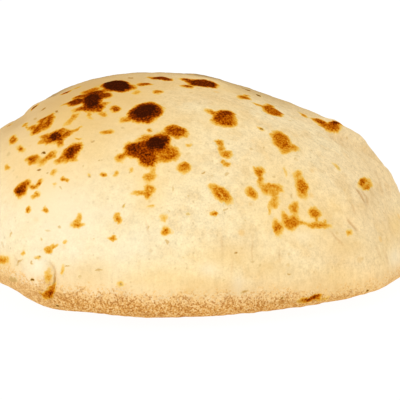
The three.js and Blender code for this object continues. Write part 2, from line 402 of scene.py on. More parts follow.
scorch(pixel=(285, 170.5), wide=0.9, tall=3.6, heat=0.2, lean=12)
scorch(pixel=(297.2, 173.4), wide=2.6, tall=2.4, heat=0.36)
scorch(pixel=(301.7, 186.8), wide=3.8, tall=6.8, heat=0.51, lean=13)
scorch(pixel=(251.5, 193.3), wide=4.1, tall=2.5, heat=0.5, lean=-58)
scorch(pixel=(220, 194), wide=7.8, tall=3.6, heat=0.58, lean=-37)
scorch(pixel=(213.4, 213.2), wide=1.8, tall=1.1, heat=0.54)
scorch(pixel=(293.9, 207.3), wide=2.8, tall=4.2, heat=0.44)
scorch(pixel=(291.2, 222.4), wide=6.0, tall=5.2, heat=0.5)
scorch(pixel=(284, 216), wide=3.4, tall=1.8, heat=0.42, lean=-50)
scorch(pixel=(301.5, 222.4), wide=2.6, tall=1.3, heat=0.34)
scorch(pixel=(277, 227.4), wide=4.4, tall=2.6, heat=0.56, lean=-70)
scorch(pixel=(313.6, 213), wide=3.8, tall=3.3, heat=0.54)
scorch(pixel=(315.5, 219.4), wide=1.2, tall=2.4, heat=0.32)
scorch(pixel=(317.4, 224.8), wide=7.2, tall=1.8, heat=0.48, lean=-4)
scorch(pixel=(324, 220.8), wide=1.2, tall=1.8, heat=0.34, lean=-20)
scorch(pixel=(364.8, 183.6), wide=3.6, tall=3.6, heat=0.44)
scorch(pixel=(361.6, 181.6), wide=1.6, tall=2.2, heat=0.6, lean=-30)
scorch(pixel=(366, 188), wide=2.2, tall=0.9, heat=0.46, lean=20)
scorch(pixel=(335.5, 165.8), wide=3.2, tall=1.0, heat=0.24, lean=-45)
scorch(pixel=(349, 232), wide=1.9, tall=2.1, heat=0.38)
print("marks so far:", len(scorches))

# %% Dot the lower front
scorch(pixel=(6.7, 166.7), wide=1.5, tall=2.0, heat=0.4)
scorch(pixel=(53.3, 172.2), wide=2.5, tall=1.8, heat=0.34, lean=50)
scorch(pixel=(63, 178.4), wide=1.5, tall=1.1, heat=0.5)
scorch(pixel=(67, 178.6), wide=1.3, tall=1.0, heat=0.44)
scorch(pixel=(54.4, 183.9), wide=1.6, tall=1.4, heat=0.2)
scorch(pixel=(102.8, 174.3), wide=1.9, tall=1.6, heat=0.54)
scorch(pixel=(115.5, 172.8), wide=1.9, tall=1.6, heat=0.32)
scorch(pixel=(88.3, 174.4), wide=1.2, tall=1.3, heat=0.24)
scorch(pixel=(130, 169.4), wide=1.8, tall=1.6, heat=0.28)
scorch(pixel=(28, 208), wide=1.9, tall=1.1, heat=0.54, lean=65)
scorch(pixel=(44.8, 209.8), wide=1.5, tall=1.4, heat=0.54)
scorch(pixel=(76.6, 224.4), wide=3.3, tall=1.9, heat=0.46, lean=8)
scorch(pixel=(79, 218.5), wide=1.9, tall=3.2, heat=0.34, lean=-15)
scorch(pixel=(117.6, 219.6), wide=2.3, tall=2.2, heat=0.5)
scorch(pixel=(116.2, 214.4), wide=1.6, tall=1.6, heat=0.32, lean=-40)
scorch(pixel=(165.3, 230.6), wide=2.7, tall=2.6, heat=0.54)
scorch(pixel=(162.8, 218.3), wide=2.1, tall=2.3, heat=0.26)
scorch(pixel=(123.5, 206.5), wide=1.8, tall=0.8, heat=0.22, lean=40)
scorch(pixel=(186.7, 213.5), wide=1.6, tall=1.2, heat=0.2, lean=-20)
scorch(pixel=(111, 237.5), wide=2.1, tall=1.3, heat=0.46)
scorch(pixel=(48.2, 248.4), wide=2.2, tall=1.7, heat=0.48)
scorch(pixel=(53.2, 245.2), wide=2.2, tall=1.2, heat=0.36, lean=25)
scorch(pixel=(64.6, 241.3), wide=1.3, tall=0.8, heat=0.24)
scorch(pixel=(1.6, 259.8), wide=2.8, tall=2.3, heat=0.46)
scorch(pixel=(22.4, 252.8), wide=1.5, tall=1.8, heat=0.32)
scorch(pixel=(36.7, 257), wide=2.2, tall=1.5, heat=0.26)
scorch(pixel=(62.2, 269.4), wide=1.5, tall=2.6, heat=0.3)
scorch(pixel=(120.2, 283), wide=1.9, tall=1.9, heat=0.26)
print("marks so far:", len(scorches))

# %% [markdown]
# A pleat gathers the skin at the front left corner. Inside its groove it is golden and olive, which
# is partly browning and partly painted shade in the groove, and it is brown where it opens into the
# sandy skin.

# %% Toast the pleat and paint shade into its groove
# The first two tint the groove: partly painted shade in it.
scorch(pixel=(49.6, 278), wide=2.2, tall=7.6, heat=0.11, lean=-4)
scorch(pixel=(47.6, 276), wide=1.6, tall=3.4, heat=0.34, lean=-6)
scorch(pixel=(46.6, 295), wide=3.8, tall=2.8, heat=0.5, lean=40)
scorch(pixel=(49.4, 293.2), wide=2.4, tall=2.2, heat=0.7, lean=40)
scorch(pixel=(51.4, 288.4), wide=1.5, tall=3.6, heat=0.52, lean=-24)
scorch(pixel=(41.4, 292.8), wide=1.0, tall=2.4, heat=0.44, lean=30)
print("marks so far:", len(scorches))

# %% [markdown]
# At the front right a flap of skin is folded over at the rim, and its edge is toasted brown.

# %% Toast the flap at the rim
scorch(pixel=(306, 300), wide=5.4, tall=1.6, heat=0.52, lean=10)
scorch(pixel=(309.6, 299), wide=2.6, tall=1.3, heat=0.66, lean=20)
scorch(pixel=(313.6, 297.4), wide=3.4, tall=1.3, heat=0.72, lean=28)
scorch(pixel=(318.4, 294.8), wide=2.2, tall=1.2, heat=0.6, lean=34)
scorch(pixel=(319, 299), wide=8.0, tall=1.6, heat=0.3, lean=12)
print("marks placed by eye:", len(scorches))

# %% [markdown]
# Where a thin blister burst or dried first, the middle of its mark stayed paler than the rim. A
# smaller ellipse inside the mark takes a share of its heat back out.


# %% Cool the middles of some blisters
cooled = []


def cool(pixel, wide, tall, amount, lean=0):
    """Takes a share of the heat back out of a mark."""
    lay_seen(cooled, pixel, wide, tall, amount, lean)


cool(pixel=(45.2, 121.4), wide=3.6, tall=0.8, amount=0.35, lean=48)
cool(pixel=(12.6, 139.2), wide=1.0, tall=0.5, amount=0.45, lean=60)
cool(pixel=(106.6, 131.2), wide=1.6, tall=0.4, amount=0.4, lean=8)
cool(pixel=(149, 177.6), wide=1.2, tall=0.7, amount=0.25)
cool(pixel=(149.2, 189.6), wide=1.1, tall=1.1, amount=0.6)
cool(pixel=(184, 167), wide=1.4, tall=0.8, amount=0.2)
cool(pixel=(221.4, 195.6), wide=3.2, tall=0.6, amount=0.45, lean=-48)
cool(pixel=(365.2, 183.6), wide=2.2, tall=0.7, amount=0.35, lean=25)
cool(pixel=(51.6, 153.6), wide=1.0, tall=0.7, amount=0.4)
cool(pixel=(272, 187.6), wide=2.2, tall=0.9, amount=0.3, lean=-10)
print("cooled middles:", len(cooled))

# %% [markdown]
# Bits of bran in the dough are smaller than the marks. They are olive brown rather than orange,
# because they dried out and darkened without scorching.


# %% Set the flecks of bran
flecks = []


def fleck(pixel, wide, tall, strength, lean=0):
    """Sets a bit of bran into the skin."""
    lay_seen(flecks, pixel, wide, tall, strength, lean)


fleck(pixel=(120.4, 283.4), wide=0.9, tall=1.0, strength=0.5)
# This long fleck darkens the pleat's groove: painted shade there, not a bit of bran.
fleck(pixel=(52.4, 280), wide=1.0, tall=5.2, strength=0.44, lean=-10)
fleck(pixel=(131, 77.3), wide=2.4, tall=0.8, strength=0.6, lean=-4)
fleck(pixel=(246, 89.2), wide=4.6, tall=0.8, strength=0.8, lean=-24)
fleck(pixel=(258.4, 95.2), wide=2.0, tall=0.7, strength=0.9, lean=-25)
fleck(pixel=(12.2, 279.6), wide=3.2, tall=2.0, strength=0.4, lean=-20)
fleck(pixel=(42.8, 108.3), wide=2.2, tall=0.8, strength=0.6, lean=35)
fleck(pixel=(55.5, 111.8), wide=1.5, tall=0.9, strength=0.6)
fleck(pixel=(61, 113), wide=1.2, tall=0.7, strength=0.25)
fleck(pixel=(34.4, 117.8), wide=1.6, tall=1.0, strength=0.4, lean=40)
fleck(pixel=(24, 123.4), wide=1.4, tall=0.9, strength=0.3, lean=20)
fleck(pixel=(18.5, 130.4), wide=1.6, tall=0.7, strength=0.2, lean=50)
fleck(pixel=(7.2, 153.9), wide=2.2, tall=0.9, strength=0.25, lean=60)
fleck(pixel=(42.8, 152.2), wide=1.2, tall=0.9, strength=0.9)
fleck(pixel=(38.3, 169.5), wide=1.6, tall=0.7, strength=0.7, lean=25)
fleck(pixel=(45.5, 172.8), wide=0.7, tall=0.7, strength=0.4)
fleck(pixel=(12.8, 170.5), wide=1.0, tall=1.4, strength=0.2, lean=-20)
fleck(pixel=(16.4, 176), wide=0.9, tall=1.2, strength=0.2)
fleck(pixel=(60, 187.8), wide=1.1, tall=1.0, strength=0.25)
fleck(pixel=(83, 167), wide=0.9, tall=0.7, strength=0.25)
fleck(pixel=(88.6, 175.6), wide=1.1, tall=0.6, strength=0.45)
fleck(pixel=(98.7, 160), wide=0.6, tall=0.6, strength=0.4)
fleck(pixel=(92.3, 141.2), wide=0.9, tall=0.6, strength=0.4)
fleck(pixel=(123.3, 127.2), wide=1.5, tall=0.8, strength=0.3)
fleck(pixel=(128, 171.5), wide=0.9, tall=0.9, strength=0.3)
fleck(pixel=(174.8, 144.6), wide=0.8, tall=0.6, strength=0.3)
fleck(pixel=(187.5, 153), wide=1.8, tall=0.9, strength=0.2)
fleck(pixel=(193, 145), wide=0.7, tall=0.6, strength=0.25)
fleck(pixel=(172.3, 189), wide=1.0, tall=2.6, strength=0.25)
fleck(pixel=(188, 195.5), wide=1.0, tall=0.9, strength=0.25)
fleck(pixel=(203.3, 172.8), wide=1.4, tall=0.7, strength=0.45, lean=25)
fleck(pixel=(225, 174.6), wide=2.0, tall=1.4, strength=0.25, lean=30)
fleck(pixel=(261.2, 128.9), wide=1.2, tall=0.7, strength=0.7, lean=-30)
fleck(pixel=(263, 147.4), wide=1.0, tall=0.8, strength=0.3)
fleck(pixel=(272.8, 175), wide=1.5, tall=1.3, strength=0.25)
fleck(pixel=(287, 181), wide=1.0, tall=1.6, strength=0.2, lean=-20)
fleck(pixel=(291, 195.4), wide=1.1, tall=1.7, strength=0.3, lean=-20)
fleck(pixel=(295.5, 156.2), wide=2.4, tall=0.7, strength=0.2)
fleck(pixel=(289, 120.4), wide=2.2, tall=0.8, strength=0.2, lean=-20)
fleck(pixel=(295, 159), wide=0.8, tall=0.6, strength=0.25)
fleck(pixel=(337.4, 167.4), wide=1.2, tall=0.7, strength=0.3, lean=-50)
fleck(pixel=(225.6, 209.6), wide=1.4, tall=0.7, strength=0.3, lean=20)
fleck(pixel=(244, 220), wide=0.8, tall=0.6, strength=0.25)
fleck(pixel=(10.5, 233.5), wide=0.9, tall=1.9, strength=0.25, lean=-10)
fleck(pixel=(48, 230), wide=1.4, tall=0.9, strength=0.2)
fleck(pixel=(58.5, 226.6), wide=1.3, tall=1.1, strength=0.25)
fleck(pixel=(41, 239), wide=0.8, tall=0.8, strength=0.25)
fleck(pixel=(38.4, 255.8), wide=1.0, tall=0.7, strength=0.6)
fleck(pixel=(35.2, 258.4), wide=0.8, tall=0.6, strength=0.4)
fleck(pixel=(18.4, 261.4), wide=2.2, tall=0.6, strength=0.4, lean=50)
fleck(pixel=(16.6, 265), wide=1.6, tall=0.5, strength=0.25, lean=50)
fleck(pixel=(31, 263), wide=0.8, tall=0.8, strength=0.4)
fleck(pixel=(66.6, 266), wide=1.2, tall=0.6, strength=0.4)
fleck(pixel=(98.3, 269.8), wide=2.6, tall=0.7, strength=0.4, lean=15)
fleck(pixel=(79.8, 276.8), wide=1.8, tall=1.2, strength=0.25)
fleck(pixel=(32, 279), wide=0.9, tall=0.7, strength=1.0)
fleck(pixel=(123.4, 206.2), wide=1.8, tall=0.6, strength=0.4, lean=40)
fleck(pixel=(147.4, 227.6), wide=0.7, tall=1.6, strength=0.25, lean=-15)
fleck(pixel=(165.5, 242), wide=1.2, tall=1.2, strength=0.3)
fleck(pixel=(186.7, 213.5), wide=1.6, tall=0.9, strength=0.3, lean=-20)
fleck(pixel=(168, 211), wide=0.8, tall=0.7, strength=0.25)
fleck(pixel=(94, 239), wide=0.9, tall=0.8, strength=0.2)
fleck(pixel=(183, 258), wide=1.2, tall=0.7, strength=0.2)
fleck(pixel=(235, 253.2), wide=0.8, tall=0.7, strength=0.6)
fleck(pixel=(251, 260), wide=0.8, tall=1.4, strength=0.25, lean=-30)
fleck(pixel=(258.6, 265.4), wide=1.0, tall=0.8, strength=0.3, lean=30)
fleck(pixel=(288.8, 272.6), wide=1.1, tall=0.6, strength=0.45)
fleck(pixel=(223, 279.4), wide=1.2, tall=0.6, strength=0.25, lean=30)
fleck(pixel=(243.4, 292), wide=2.8, tall=0.9, strength=0.5, lean=25)
fleck(pixel=(280.6, 297.2), wide=0.8, tall=0.8, strength=0.7)
fleck(pixel=(56.8, 305), wide=0.8, tall=0.5, strength=1.0)
fleck(pixel=(92.2, 306.8), wide=0.6, tall=0.5, strength=1.0)
fleck(pixel=(367.6, 290), wide=0.6, tall=0.6, strength=1.0)
print("flecks:", len(flecks))

# %% [markdown]
# Round the marks the skin is warm all over, most of all towards the upper left and at the two ends,
# where the dough is thinnest. These blushes have no edge, so they are laid as wide weak ellipses.
# In the dent at the right end, one of them is painted shade instead.


# %% Warm the skin round the marks
blushes = []


def blush(pixel, wide, tall, strength, lean=0):
    """Warms the skin round a pixel to a pale gold, with no edge."""
    lay_seen(blushes, pixel, wide, tall, strength, lean)


blush(pixel=(60, 114), wide=32, tall=12, strength=0.75, lean=30)
blush(pixel=(90, 91), wide=28, tall=9, strength=0.8, lean=16)
blush(pixel=(126, 91), wide=16, tall=6, strength=0.5)
blush(pixel=(97, 101), wide=30, tall=15, strength=0.6, lean=8)
blush(pixel=(12, 148), wide=18, tall=22, strength=0.6)
blush(pixel=(58, 140), wide=36, tall=17, strength=0.6, lean=25)
blush(pixel=(60, 157), wide=26, tall=9, strength=0.5, lean=20)
blush(pixel=(146, 112), wide=18, tall=12, strength=0.4)
blush(pixel=(151, 150), wide=25, tall=17, strength=0.5)
blush(pixel=(176, 132), wide=13, tall=8, strength=0.4)
blush(pixel=(225, 116), wide=15, tall=10, strength=0.4)
blush(pixel=(148, 188), wide=9, tall=12, strength=0.5)
blush(pixel=(24, 189), wide=12, tall=10, strength=0.4)
blush(pixel=(283, 142), wide=14, tall=10, strength=0.3)
blush(pixel=(270, 186), wide=18, tall=18, strength=0.4)
blush(pixel=(302, 187), wide=9, tall=12, strength=0.4)
blush(pixel=(299, 219), wide=26, tall=13, strength=0.5)
blush(pixel=(205, 84), wide=34, tall=6, strength=0.4, lean=-5)
blush(pixel=(333, 207), wide=9, tall=9, strength=0.3)
blush(pixel=(228, 256), wide=22, tall=8, strength=0.45)
blush(pixel=(268, 268), wide=18, tall=6, strength=0.4)
blush(pixel=(168, 276), wide=22, tall=8, strength=0.4)
blush(pixel=(200, 284), wide=20, tall=6, strength=0.4)
blush(pixel=(90, 272), wide=14, tall=9, strength=0.35)
blush(pixel=(2, 262), wide=7, tall=6, strength=0.5)
blush(pixel=(50, 286), wide=9, tall=7, strength=0.2)
# Painted shade in the dent at the right end, in a warm tone.
blush(pixel=(396, 224), wide=4, tall=7, strength=0.5)
blush(pixel=(385, 252), wide=6, tall=12, strength=0.3)
blush(pixel=(346, 246), wide=12, tall=7, strength=0.45)
blush(pixel=(338, 274), wide=14, tall=6, strength=0.35)
blush(pixel=(330, 285), wide=34, tall=8, strength=0.3)
print("blushes:", len(blushes))

# %% [markdown]
# Some stretches are darkened to a dull biscuit with no edge. Faint bands low on the right tanned
# evenly without blistering. Along the skyline of the left shoulder and the crown, along a fold at the
# right and in the dent at the right end, the darkening is painted shade instead.


# %% Tan some stretches of skin, and paint shade on others
tans_and_shades = []


def tan_and_shade(pixel, wide, tall, amount, lean=0):
    """Darkens a stretch of skin to a dull biscuit, with no edge: tan in some places, painted shade in
    others.
    """
    lay_seen(tans_and_shades, pixel, wide, tall, amount, lean)


# The next four are painted shade along the skyline of the left shoulder and the crown, where the skin
# turns away from the light.
tan_and_shade(pixel=(14, 124), wide=22, tall=8, amount=0.7, lean=32)
tan_and_shade(pixel=(52, 103), wide=28, tall=9, amount=0.6, lean=28)
tan_and_shade(pixel=(92, 85), wide=30, tall=9, amount=0.65, lean=16)
tan_and_shade(pixel=(128, 79), wide=22, tall=6, amount=0.4, lean=4)
tan_and_shade(pixel=(94, 104), wide=30, tall=16, amount=0.3, lean=10)
tan_and_shade(pixel=(238, 246), wide=14, tall=6, amount=0.2)
tan_and_shade(pixel=(204, 286), wide=16, tall=5, amount=0.2)
tan_and_shade(pixel=(238, 288), wide=12, tall=4, amount=0.2)
tan_and_shade(pixel=(274, 270), wide=16, tall=6, amount=0.2)
tan_and_shade(pixel=(312, 284), wide=16, tall=5, amount=0.15)
tan_and_shade(pixel=(348, 250), wide=15, tall=9, amount=0.25)
# Painted shade in the dent at the right end.
tan_and_shade(pixel=(386, 222), wide=6, tall=10, amount=0.2)
tan_and_shade(pixel=(88, 270), wide=12, tall=6, amount=0.2)
tan_and_shade(pixel=(369, 199), wide=5, tall=8, amount=0.35, lean=-30)
# Painted shade along the fold below the notch at the right end.
tan_and_shade(pixel=(352, 148), wide=18, tall=4, amount=0.15, lean=-35)
print("tanned stretches:", len(tans_and_shades))

# %% [markdown]
# Elsewhere the last of the flour was never brushed off, and it leaves paler clouds.


# %% Leave some flour on
dustings = []


def dust(pixel, wide, tall, amount, lean=0):
    """Leaves a pale cloud of flour on the skin."""
    lay_seen(dustings, pixel, wide, tall, amount, lean)


dust(pixel=(50, 198), wide=18, tall=13, amount=0.8)
dust(pixel=(54, 221), wide=22, tall=11, amount=0.5)
dust(pixel=(38, 264), wide=5, tall=7, amount=0.6)
dust(pixel=(126, 246), wide=22, tall=10, amount=0.25)
dust(pixel=(103, 212), wide=10, tall=6, amount=0.3)
dust(pixel=(209, 268), wide=5, tall=3.5, amount=0.5)
dust(pixel=(238, 283), wide=3, tall=4.5, amount=0.5)
dust(pixel=(302, 235), wide=6, tall=3, amount=0.45)
dust(pixel=(394, 256), wide=3.5, tall=5, amount=0.5)
print("clouds of flour:", len(dustings))

# %% [markdown]
# The far side of the loaf was in the same oven, so it gets marks of the same kinds. Nobody has
# seen them, so a seeded draw places them: clusters of joined blisters, and small ones between. Skin
# that still shows from the front gets none of these.


# %% Scorch the far side
FAR_PLACES = 44
FAR_BEARINGS = (8, 172)
FAR_HEIGHTS = (12, 30)
STEEPEST_WAY = 1.1
TURNED_AWAY = 0.15
CLUSTER_EVERY = 3
BIG_SIZES = (4.5, 9.0)
SMALL_SIZES = (1.4, 4.0)
draw = random.Random(11)


def far_skin(bearing, height):
    """The skin at a bearing, where a line from a height over the middle meets it."""
    start = Vector((-4 * MM, 0, height * MM))
    outward = Vector((math.cos(bearing), math.sin(bearing), draw.uniform(0.0, STEEPEST_WAY)))
    place, facing, _, _ = skin_tree.ray_cast(start, outward.normalized())
    return place, facing


def turned(facing):
    """A direction along the skin, drawn at random."""
    first = facing.orthogonal().normalized()
    first.rotate(Matrix.Rotation(draw.uniform(0, 2 * math.pi), 3, facing))
    return first


def far_mark(place, facing, size, heat):
    """Scorches one ellipse, turned at random."""
    first = turned(facing)
    narrow = facing.cross(first) * draw.uniform(0.45, 0.9)
    lay(scorches, place, [first * (size / 2 * MM), narrow * (size / 2 * MM)], heat)


for number in range(FAR_PLACES):
    bearing = math.radians(draw.uniform(*FAR_BEARINGS))
    place, facing = far_skin(bearing, draw.uniform(*FAR_HEIGHTS))
    if facing.dot(place - camera.location) < TURNED_AWAY * DISTANCE:
        continue
    if number % CLUSTER_EVERY:
        far_mark(place, facing, draw.uniform(*SMALL_SIZES), draw.uniform(0.5, 0.75))
        continue
    size = draw.uniform(*BIG_SIZES)
    far_mark(place, facing, size, draw.uniform(0.7, 1.0))
    for _ in range(draw.randint(1, 4)):
        beside = turned(facing) * (size * draw.uniform(0.4, 0.65) * MM)
        far_mark(place + beside, facing, size * draw.uniform(0.3, 0.65), draw.uniform(0.55, 0.85))
print("marks in all:", len(scorches))

# %% [markdown]
# ## Relief
# Each scorched blister stands a little proud, and creases are pressed in where the skin folded as
# it puffed. A maker could sculpt them by hand. Here each kind is a painted vertex group that a
# Displace modifier pushes out or pulls in, so the depths stay exact and easy to change.


# %% Helpers for painting weights
LEAST_WEIGHT = 0.01


def rows_of(field):
    """A field of the crust's points, as rows of x, y and z."""
    flat = np.empty(len(crust.data.vertices) * 3)
    crust.data.vertices.foreach_get(field, flat)
    return flat.reshape(-1, 3)


def bell(distance, spread):
    """1 at no distance, and about 0.6 at one spread."""
    return np.exp(-0.5 * (distance / spread) ** 2)


def push(name, weights, depth):
    """Moves the crust along its normals by depth times each point's weight."""
    group = crust.vertex_groups.new(name=name)
    moved = np.flatnonzero(weights > LEAST_WEIGHT)
    for point in moved:
        group.add([int(point)], min(1.0, float(weights[point])), "REPLACE")
    pusher = crust.modifiers.new(name, "DISPLACE")
    pusher.vertex_group = name
    pusher.mid_level = 0
    pusher.strength = depth
    bpy.context.view_layer.objects.active = crust
    bpy.ops.object.modifier_apply(modifier=name)
    crust.vertex_groups.remove(crust.vertex_groups[name])
    print(name, "moves", len(moved), "points by up to", depth / MM, "mm")


skin = rows_of("co")
smooth_facing = rows_of("normal")
print("points to weight:", len(skin))

# %% Raise the blisters
BLISTER_RISE = 0.7 * MM
FULL_RISE_SIZE = 3 * MM  # the half size from which a blister rises fully
BLISTER_EDGE = 0.4 * MM

blister = np.zeros(len(skin))
for mark in scorches:
    size = (mark["half"][0] * mark["half"][1]) ** 0.5
    away = np.linalg.norm(skin - np.array(mark["place"]), axis=1)
    rise = min(1.0, size / FULL_RISE_SIZE) * min(1.0, mark["strength"])
    blister = np.maximum(blister, rise * bell(away, 0.75 * size + BLISTER_EDGE))
push("blisters", blister, BLISTER_RISE)

# %% [markdown]
# The solid has the broad folds. These are the sharper lines in them: the groove of the pleat with a
# lip beside it, short creases at the right end, and the flap at the rim. Each is a line of pixels
# that the skin is weighted along, as if a thumbnail were run over it.


# %% Press in the folds
LINE_STEPS = 6


def along_line(pixels, width):
    """Weights along a line of pixels: 1 in the line, fading over a width in millimetres."""
    line = [skin_at(pixel)[0] for pixel in pixels]
    nearest = np.full(len(skin), 1.0)
    for start, end in zip(line, line[1:]):
        for step in np.linspace(0, 1, LINE_STEPS):
            stop = np.array(start.lerp(end, step))
            nearest = np.minimum(nearest, np.linalg.norm(skin - stop, axis=1))
    return bell(nearest, width * MM)


PLEAT = [(50, 264), (52, 270), (53, 276), (52, 283), (48, 296)]
PLEAT_LIP = [(40, 264), (42, 275), (41, 286)]
LEFT_FOLD = [(30, 260), (31, 268), (31, 277)]
NAVEL_FOLD = [(357, 188), (361, 194), (366, 202)]
SHORT_CREASE = [(350, 219), (353, 223), (357, 228)]
RIM_FLAP = [(303, 301), (311, 298), (319, 294)]
NOTCH_FOLD = [(338, 139), (350, 145), (362, 149), (371, 154)]
HOLLOW = [(330, 207), (336, 214), (343, 222)]
END_STREAK = [(384, 176), (389, 200), (391, 226)]

push("pleat", along_line(PLEAT, 1.0), -1.5 * MM)
push("pleat_lip", along_line(PLEAT_LIP, 2.2), 1.2 * MM)
push("left_fold", along_line(LEFT_FOLD, 1.4), -0.4 * MM)
push("navel_fold", along_line(NAVEL_FOLD, 1.0), -0.8 * MM)
push("short_crease", along_line(SHORT_CREASE, 0.9), -0.9 * MM)
push("rim_flap", along_line(RIM_FLAP, 0.9), -1.0 * MM)
push("soft_folds", np.maximum(along_line(NOTCH_FOLD, 2.4), along_line(HOLLOW, 3.0)), -1.1 * MM)
push("end_streak", along_line(END_STREAK, 2.2), -0.8 * MM)

# %% [markdown]
# ## Wrinkles
# Thinner wrinkles than the crust's points can carry go into the finish. Each is a chain of narrow
# ellipses from one pixel to the next. The finish darkens them, as painted shade in the creases.


# %% Draw the wrinkles
wrinkles = []


def wrinkle(pixels, wide, strength):
    """A thin wrinkle through some pixels, so many millimetres wide."""
    for start, end in zip(pixels, pixels[1:]):
        run = (end[0] - start[0], start[1] - end[1])
        long = math.hypot(*run) * PIXEL / MM + wide
        middle = ((start[0] + end[0]) / 2, (start[1] + end[1]) / 2)
        lay_seen(wrinkles, middle, long, wide, strength, math.degrees(math.atan2(run[1], run[0])))


wrinkle([(50.5, 264), (53.4, 269), (54.2, 275), (53.2, 281), (51.4, 286)], 0.7, 0.55)
wrinkle([(357, 188), (361, 193), (365, 201)], 0.6, 0.75)
wrinkle([(362, 191), (366, 196), (368, 202)], 0.5, 0.5)
wrinkle(SHORT_CREASE, 0.7, 0.7)
wrinkle([(331, 232), (336, 238), (341, 243)], 0.7, 0.45)
wrinkle([(262, 302.8), (280, 302.6), (291, 302), (302, 300.8)], 1.0, 0.5)
wrinkle([(252, 243), (251, 251), (252, 259)], 0.5, 0.35)
wrinkle([(279, 250), (279, 256), (280, 263)], 0.5, 0.3)
wrinkle([(221, 239), (222, 248)], 0.8, 0.35)
wrinkle([(232, 262), (231, 272)], 0.8, 0.35)
wrinkle([(383, 250), (386, 256), (387, 262)], 1.2, 0.25)
wrinkle([(376, 246), (379, 256)], 1.0, 0.25)
wrinkle([(375, 172), (380, 182), (382, 193)], 1.4, 0.2)
wrinkle([(387, 182), (390, 194)], 1.4, 0.2)
wrinkle([(352, 205), (354, 211)], 0.7, 0.4)
wrinkle([(15, 258), (18, 262)], 0.8, 0.4)
wrinkle([(146, 224), (148, 232)], 0.7, 0.4)
print("wrinkle pieces:", len(wrinkles))

# %% [markdown]
# Dough skin is never quite smooth. A soft cloud pattern lifts and sinks it by a fraction of a
# millimetre. Two sizes of cloud are laid over each other, as wide ripples and as small dimples.


# %% Ripple the skin
def ripple(name, size, depth):
    """Lifts and sinks the whole skin by a cloud pattern."""
    clouds = bpy.data.textures.new(name, "CLOUDS")
    clouds.noise_scale = size
    clouds.noise_depth = 2
    mover = crust.modifiers.new(name, "DISPLACE")
    mover.texture = clouds
    mover.texture_coords = "LOCAL"
    mover.mid_level = 0.5
    mover.strength = depth
    bpy.ops.object.modifier_apply(modifier=name)
    print(name, "lift and sink the skin by up to", depth / 2 / MM, "mm")


ripple("ripples", 9 * MM, 1.0 * MM)
ripple("dimples", 2.6 * MM, 0.35 * MM)

# %% [markdown]
# The loaf still has to stand flat, so whatever the ripples pushed below the foot is put back.

# %% Level the foot
skin = rows_of("co")
skin[:, 2] = np.maximum(skin[:, 2], 0)
crust.data.vertices.foreach_set("co", skin.ravel())
crust.data.update()
print("crust, mm:", np.round((skin.max(0) - skin.min(0)) / MM, 1))

# %% [markdown]
# ## Where the sandy skin begins
# Below the seam the skin lay on the oven floor, and it is tan and sandy instead of cream. At the
# front the sandy skin climbs several millimetres above the seam. The seam isn't level, because it
# lifts at the left end, so its height is worked out from the bearing, as it was for the solid. Each
# point keeps its height above the edge of the sandy skin as an attribute.

# %% Measure the height above the sandy skin
SEAM_HEIGHT = 7.0
LEFT_SEAM_RISE = 4.8
LEFT_RISE_SHARPNESS = 4
EDGE_LIFTS = {-157.6: (8.4, 22.6), -133.8: (2.6, 5.8), 20: (3.0, 22), 112: (3.5, 16)}
SAND_ABOVE_SEAM = 1.0
SAND_CLIMBS = {-122: (1.6, 9), -97: (5.7, 22), -62: (1.4, 12), 80: (4.0, 40)}

bearings = np.arctan2(skin[:, 1], skin[:, 0])
leftness = np.maximum(0, -np.cos(bearings)) ** LEFT_RISE_SHARPNESS


def rises(table):
    """The sum of some rises round the loaf, given as bearing: (rise, spread in degrees)."""
    total = np.zeros(len(bearings))
    for middle, (rise, spread) in table.items():
        apart = np.abs((np.degrees(bearings) - middle + 180) % 360 - 180)
        total += rise * bell(apart, spread)
    return total


def keep(name, values):
    """Keeps one value for each point of the crust under a name that the finish can read."""
    kept = crust.data.attributes.new(name, "FLOAT", "POINT")
    kept.data.foreach_set("value", values.astype(np.float32))
    print(name, "runs from", round(float(values.min()), 2), "to", round(float(values.max()), 2))


seam = SEAM_HEIGHT + LEFT_SEAM_RISE * leftness + rises(EDGE_LIFTS)
sandy_edge = seam + SAND_ABOVE_SEAM + rises(SAND_CLIMBS)
keep("above_sand", skin[:, 2] / MM - sandy_edge)

# %% [markdown]
# The ridge and the slope just behind it are painted darker, as painted shade where the skin turns
# away from the lights in front. The shade follows the loaf's broad form and not its dents, so a smooth
# cubic is fitted to how far each point's skin was turned towards the back before the blisters rose.
# It is an attribute as well.


# %% Find the skin that was turned towards the back
BACK_POINT = np.array((0.0, 150.0, 0.0))
LOAF_CORE = np.array((0.0, 0.0, 40.2))
to_back = (BACK_POINT - LOAF_CORE) / np.linalg.norm(BACK_POINT - LOAF_CORE)


def broad_form(values):
    """The smooth cubic over the crust that comes closest to one value for each point."""
    across, back, up = (skin / np.abs(skin).max(axis=0)).T
    powers = [(i, j, k) for i in range(4) for j in range(4 - i) for k in range(4 - i - j)]
    terms = np.stack([across**i * back**j * up**k for i, j, k in powers], axis=1)
    return terms @ np.linalg.lstsq(terms, values, rcond=None)[0]


keep("facing_back", broad_form(smooth_facing @ to_back))

# %% [markdown]
# The blushes, the tanned stretches and the painted shade laid the same way, and the clouds of flour
# have no edge, so the crust's points are fine enough to carry them. Each kind is an attribute too,
# strongest in the middle of its ellipses, and a little stronger where two of them overlap.


# %% Spread the soft patches
JOINING = 0.45
SOFT_SPREAD = 1.1


def patches_of(marks):
    """How strongly the ellipses cover each point of the crust."""
    cover = np.zeros(len(skin))
    for mark in marks:
        offset = (skin - np.array(mark["place"])) @ mark["axes"].T
        away = np.linalg.norm(offset / np.array(mark["half"]), axis=1)
        own = mark["strength"] * bell(away, SOFT_SPREAD)
        stronger = np.maximum(cover, own)
        cover = stronger + JOINING * np.minimum(cover, own) * (1 - stronger)
    return cover


keep("blushed", patches_of(blushes))
keep("floury", patches_of(dustings))
keep("tanned_and_shaded", patches_of(tans_and_shades))

